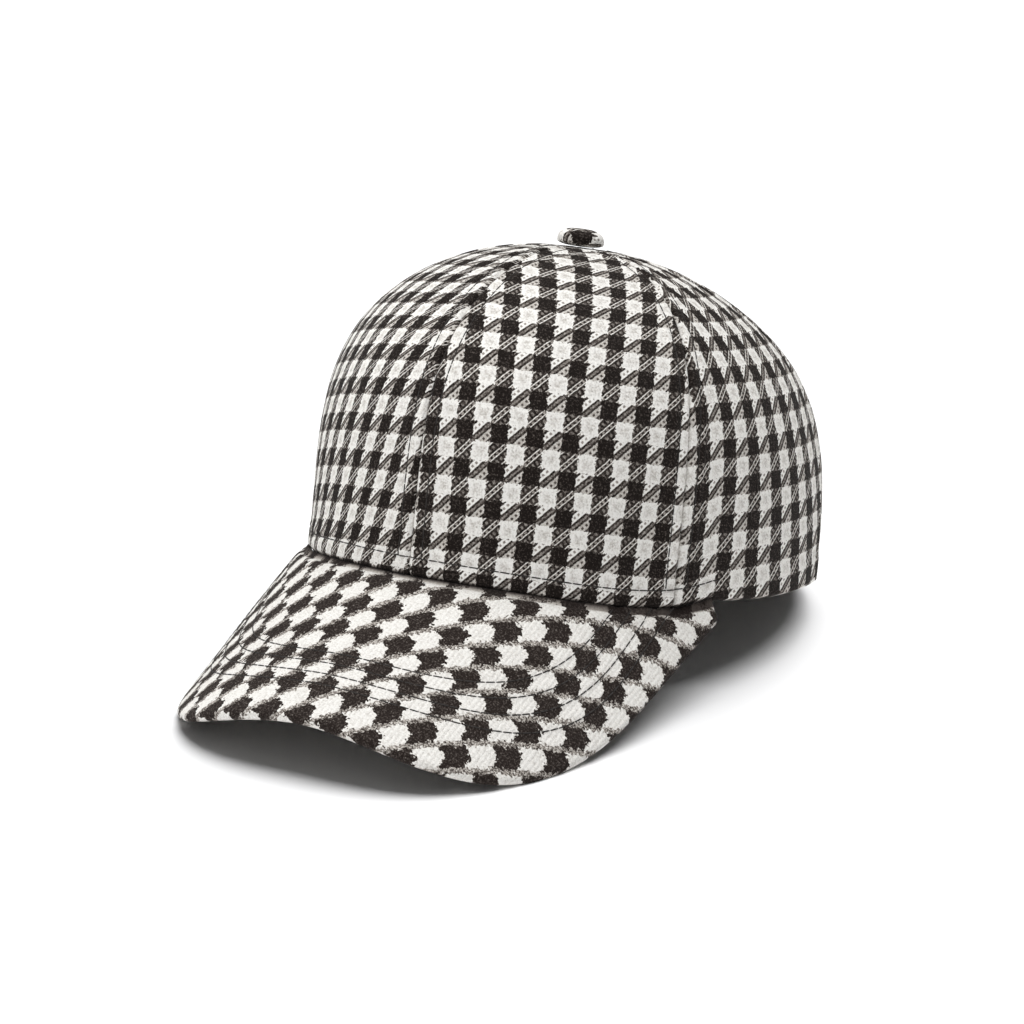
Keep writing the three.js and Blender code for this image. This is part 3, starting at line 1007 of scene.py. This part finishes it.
@dataclass
class Brim:
    """The curved brim: an upper cover that wraps its edge, a lower cover and rows of stitches."""

    form: CapForm
    lip: float = 3.0 * MM
    rounding: float = 1.5 * MM
    under_inset: float = 3.55 * MM
    edge_share: float = 0.6
    wall: float = 0.9 * MM
    columns: int = 230
    edge_rows: int = 14
    inner_rows: int = 66
    tuck: float = 0.9 * MM
    rows: int = 4
    row_width: float = 71.5 * MM
    row_reach: float = 75.2 * MM
    row_step: float = 3.75 * MM
    row_back: float = -75.0 * MM
    row_corner: float = 2.35
    groove: float = 0.3 * MM
    groove_width: float = 1.1 * MM
    root_dip: float = 1.5 * MM
    root_dip_width: float = 1.8 * MM
    # Painted shade on the upper cover near the root: full this far from the root, then fading over the
    # next span.
    crease_shade_start: float = 0.1 * MM
    crease_shade_fade: float = 0.7 * MM
    row_lift: float = 1.3
    wave: float = 0.2 * MM
    wave_span: float = 30 * MM
    edge_fade: float = 4 * MM
    under_room: float = 0.45 * MM
    under_trim: float = 0.01
    spread_share: float = 1.2
    layout: Layout = Layout(
        (-3.470, 4.156, 0.451, -0.095, -0.100, -0.100), (1.450, 0.112, -4.254, 0.186, 0.038, 0.252)
    )

    def weave(self, x: float, y: float, face: Face) -> tuple[float, float]:
        """Return the weave coordinates of a place seen from above, in whole checks."""
        reach = self.form.brim_half_width * self.spread_share
        across = self._spread.distance((x + reach) / (2 * reach)) - self._spread.length / 2
        droop = self.form.brim_droop
        forward = -(y + self.form.half_length) / math.cos(droop) + self.form.brim_bend(x) * math.sin(droop)
        column, row = self.layout.weave(across, forward)
        return face.value * column, row

    @cached_property
    def _spread(self) -> Measured:
        """The brim's section across, laid flat."""
        reach = self.form.brim_half_width * self.spread_share
        fall = math.cos(self.form.brim_droop)

        def point(number: float) -> Vector:
            """Return the point at a number from 0 to 1."""
            x = mix(-reach, reach, number)
            return Vector((x, self.form.brim_bend(x) * fall))
        return Measured(point, 400)

    def row_size(self, row: int) -> tuple[float, float]:
        """Return half the width of a stitched row, and how far it reaches forward."""
        return self.row_width - row * self.row_step, self.row_reach - row * self.row_step

    def row_distance(self, x: float, y: float, row: int) -> float:
        """Return about how far a place seen from above lies outside a stitched row."""
        width, reach = self.row_size(row)
        ahead = min(y - self.row_back, 0.0)
        size = ((abs(x) / width) ** self.row_corner + (-ahead / reach) ** self.row_corner)
        return (size ** (1 / self.row_corner) - 1) * mix(width, reach, 0.5)

    def relief(self, x: float, y: float) -> float:
        """Return the height of the upper cover over its plain surface."""
        sewn = sum(valley(self.row_distance(x, y, row), self.groove_width) for row in range(self.rows))
        wave = noise.noise(Vector((x, y, 0.0)) / self.wave_span) * self.wave
        return wave - self.groove * min(sewn, 1.0)

    def over_point(self, along: float, step: int) -> tuple[Vector, Woven]:
        """Return a point of the upper cover, its weave coordinates and its painted shade near the root.

        Args:
            along: The place along the edge.
            step: The row of the grid, from the lip's end under the edge to the root.
        """
        root, edge = self.form.brim_line(along)
        width = (edge - root).length
        half = self.form.brim_half_thickness
        if step == 0:
            inset, over, path = self.lip, -1.0, -(self.lip - self.rounding)
        else:
            turn = math.pi * min(step - 1, self.edge_rows) / self.edge_rows - QUARTER
            inset, over = self.rounding * (1 - math.cos(turn)), math.sin(turn)
            path = (turn + QUARTER) * (half + self.rounding) / 2
        around = math.pi * (half + self.rounding) / 2
        share = self.share_at(inset, width)
        virtual = self.share_at(self.rounding, width) + (around - path) / width
        inward = max(step - 1 - self.edge_rows, 0) / self.inner_rows
        share *= 1 - inward
        virtual *= 1 - inward
        if inward == 1.0:
            share = -self.tuck / width
        x, y = root.lerp(edge, min(share, 1.0))
        height = half * over
        if over > 0.99:
            height += self.relief(x, y) * smooth(width * (1 - share) / self.edge_fade)
            height -= self.root_dip * valley(width * share, self.root_dip_width)
        point = self.form.to_rest(self.form.brim_point(along, share, height))
        woven = root.lerp(edge, virtual)
        # Painted shade on the upper face where it meets the crown.
        from_root = width * share - self.crease_shade_start
        crease = 1 - smooth(from_root / self.crease_shade_fade) if over > 0.99 else 0.0
        return point, (*self.weave(woven.x, woven.y, Face.OVER), crease)

    def share_at(self, inset: float, width: float) -> float:
        """Return the share of a line of that width that lies inside an inset from the edge."""
        return 1 - min(inset / width, self.edge_share * inset / self.under_inset)

    def under_point(self, along: float, step: int) -> tuple[Vector, Woven]:
        """Return a point of the lower cover with its coordinates, as over_point does."""
        root, edge = self.form.brim_line(along)
        width = (edge - root).length
        share = self.share_at(self.under_inset - self.under_room, width) * (step / self.inner_rows)
        x, y = root.lerp(edge, share)
        point = self.form.to_rest(self.form.brim_point(along, share, -self.form.brim_half_thickness))
        return point, (*self.weave(x, y, Face.UNDER), 0.0)

    def cover(
        self, place: Callable[[float, int], tuple[Vector, Woven]], steps: int, trim: float
    ) -> bmesh.types.BMesh:
        """Return a cover's outer face.

        Args:
            place: Gives a point and its weave coordinates.
            steps: The number of rows from one side of the cover to the other.
            trim: The share of the edge that is left free at each end.
        """
        mesh = bmesh.new()
        bmesh.ops.create_grid(mesh, x_segments=self.columns, y_segments=steps, size=0.5)
        mesh.verts.index_update()
        places = []
        for vert in mesh.verts:
            along = mix(trim, 1 - trim, round((vert.co.x + 0.5) * self.columns) / self.columns)
            vert.co, woven = place(along, round((vert.co.y + 0.5) * steps))
            places.append(woven)
        weave_on(mesh, places)
        return mesh

    def row_path(self, row: int) -> Measured:
        """Return one stitched row on the upper cover."""
        width, reach = self.row_size(row)
        side = math.asin(width / self.form.half_width)
        back = self.form.rim_plan(side, 2.2 * MM).y
        tail = (back - self.row_back) / (back - self.row_back + reach)

        def point(number: float) -> Vector:
            """Return the point at a number from 0 to 1, from the right end to the left."""
            spot = abs(2 * number - 1)
            if spot > 1 - tail * 0.5:
                x, y = width, mix(back, self.row_back, (1 - spot) / (tail * 0.5))
            else:
                turn = spot / (1 - tail * 0.5) * QUARTER
                x = width * math.sin(turn) ** (2 / self.row_corner)
                y = self.row_back - reach * max(math.cos(turn), 0.0) ** (2 / self.row_corner)
            x = math.copysign(x, 2 * number - 1)
            height = self.form.brim_height(x, y) + self.form.brim_half_thickness * self.row_lift
            return self.form.to_rest(Vector((x, y, height)))
        return Measured(point, 300)

    def build(self, cloth: bpy.types.Material, thread: bpy.types.Material) -> None:
        """Build both covers and the rows of stitches between them."""
        steps = 1 + self.edge_rows + self.inner_rows
        mesh = self.cover(self.over_point, steps, 0.0)
        skin = BVHTree.FromBMesh(mesh)
        belongs(dressed(mesh, "brim_top", cloth, self.wall), "brim_cloth", "brim_top")
        mesh = self.cover(self.under_point, self.inner_rows, self.under_trim)
        belongs(dressed(mesh, "brim_under", cloth, self.wall), "brim_cloth", "brim_under")
        sewing = TopStitching("brim_topstitching", "brim_cloth")
        for row in range(self.rows):
            sewing.sew(self.row_path(row), [skin])
        sewing.build(thread)


@dataclass
class Button:
    """The cloth-covered button on top of the crown."""

    form: CapForm
    radius: float = 8.0 * MM
    height: float = 6.3 * MM
    squareness: float = 2.6
    gap: float = 0.3 * MM
    check: float = 15.5 * MM
    facing: float = 0.534
    check_reach: float = 8.4 * MM
    waist: float = 0.32
    puffed: float = 1.25
    pleats: int = 11
    pleat_depth: float = 0.22 * MM
    pleat_shift: float = 1.7
    pleat_start: float = 1.1
    pleat_fade: float = 0.9
    sides: int = 88
    rings: int = 56

    def build(self, cloth: bpy.types.Material) -> None:
        """Shape a sphere into a button whose cloth is gathered underneath."""
        mesh = bmesh.new()
        bmesh.ops.create_uvsphere(mesh, u_segments=self.sides, v_segments=self.rings, radius=1.0)
        waist = self.height * self.waist
        places = []
        mesh.verts.index_update()
        for vert in mesh.verts:
            polar = math.acos(min(max(vert.co.z, -1.0), 1.0))
            around = math.atan2(vert.co.y, vert.co.x)
            side = max(math.sin(polar), 0.0) ** (2 / self.squareness)
            rise = math.copysign(abs(math.cos(polar)) ** (2 / self.squareness), math.cos(polar))
            low = smooth((polar - self.pleat_start) / self.pleat_fade)
            wave = math.cos(self.pleats * around + self.pleat_shift * math.sin(2 * around))
            pleat = wave * self.pleat_depth * low
            wide = self.radius * side + pleat * min(side * 3, 1.0)
            z = waist + (self.height - waist if rise > 0 else waist * 0.95) * rise
            unrolled = self.radius * self.puffed * polar / QUARTER
            vert.co = (wide * math.cos(around), wide * math.sin(around), z)
            turned = around - self.facing
            places.append((
                unrolled * math.cos(turned) / self.check,
                (unrolled * math.sin(turned) + self.check_reach) / self.check,
                0.0,
            ))
        foot = self.form.to_rest(Vector((0.0, -self.form.apex_forward, self.form.height + self.gap)))
        turn = Matrix.Translation(foot) @ Matrix.Rotation(-self.form.lean, 4, "X")
        bmesh.ops.transform(mesh, matrix=turn, verts=mesh.verts)
        weave_on(mesh, places)
        belongs(dressed(mesh, "button", cloth), "button_cloth", "button")


class Reach(Enum):
    """What a light falls on."""

    CAP = "EXCLUDE"
    SURFACE = "INCLUDE"


@dataclass
class Studio:
    """A pale surface, soft lights and the camera."""

    azimuth: float = 0.5343
    elevation: float = 0.3138
    lens: float = 163.1
    sensor: float = 36.0
    distance: float = 1571.4 * MM
    aim: tuple[float, float, float] = (0.90 * MM, -7.70 * MM, 51.78 * MM)
    surface_size: float = 14.0
    sky: float = 0.15

    def build(self) -> None:
        """Set up the surface, the lights and the camera."""
        mesh = bmesh.new()
        bmesh.ops.create_grid(mesh, x_segments=1, y_segments=1, size=self.surface_size / 2)
        surface = dressed(mesh, "surface", PaleSurface().material())
        world = bpy.data.worlds.new("soft_room")
        world.use_nodes = True
        world.node_tree.nodes["Background"].inputs["Color"].default_value = (1.0, 1.0, 1.0, 1.0)
        world.node_tree.nodes["Background"].inputs["Strength"].default_value = self.sky
        bpy.context.scene.world = world
        bpy.context.scene.view_settings.view_transform = "Standard"
        suns = [
            ("overhead", (0.0, 0.18, 1.0), 2.9, 30, Reach.CAP),
            ("front", (-0.45, -1.0, 0.62), 1.35, 50, Reach.CAP),
            ("ground", (0.06, 0.33, 1.0), 3.9, 56, Reach.SURFACE),
        ]
        for name, toward, power, spread, reach in suns:
            lamp = self.sun(name, toward, power, spread)
            group = bpy.data.collections.new(f"{name}_reach")
            group.objects.link(surface)
            group.collection_objects[0].light_linking.link_state = reach.value
            lamp.light_linking.receiver_collection = group
        self.camera()

    def sun(
        self, name: str, toward: tuple[float, float, float], power: float, spread: float
    ) -> bpy.types.Object:
        """Add an even soft light.

        Args:
            name: The light's name.
            toward: The direction that it comes from.
            power: Its strength.
            spread: Its width in degrees.

        Returns:
            The lamp.
        """
        lamp = bpy.data.lights.new(name, "SUN")
        lamp.energy = power
        lamp.angle = math.radians(spread)
        piece = bpy.data.objects.new(name, lamp)
        piece.location = Vector(toward) * 2
        piece.rotation_euler = Vector(toward).to_track_quat("Z", "Y").to_euler()
        bpy.context.scene.collection.objects.link(piece)
        return piece

    def camera(self) -> None:
        """Add the camera."""
        level = math.cos(self.elevation)
        back = Vector((
            math.sin(self.azimuth) * level, -math.cos(self.azimuth) * level, math.sin(self.elevation)
        ))
        lens = bpy.data.cameras.new("camera")
        lens.lens = self.lens
        lens.sensor_width = self.sensor
        lens.clip_start = 0.05
        lens.clip_end = 50.0
        camera = bpy.data.objects.new("camera", lens)
        camera.location = Vector(self.aim) + back * self.distance
        camera.rotation_euler = back.to_track_quat("Z", "Y").to_euler()
        bpy.context.scene.collection.objects.link(camera)
        bpy.context.scene.camera = camera


def main() -> None:
    """Build the cap and its surroundings, and report each piece."""
    logging.basicConfig(level=logging.INFO, format="%(message)s")
    cloth = HoundstoothWool().material()
    brim_cloth = HoundstoothWool(
        "brim_houndstooth_wool",
        dark=(0.011, 0.0066, 0.0053),
        light=(0.83, 0.815, 0.78),
        ragged=0.15,
        frayed=0.7,
        upright=0.6,
    ).material()
    thread = SewingThread().material()
    form = CapForm()
    Crown(form).build(cloth, thread)
    Brim(form).build(brim_cloth, thread)
    Button(form).build(cloth)
    Studio().build()


if __name__ == "__main__":
    main()
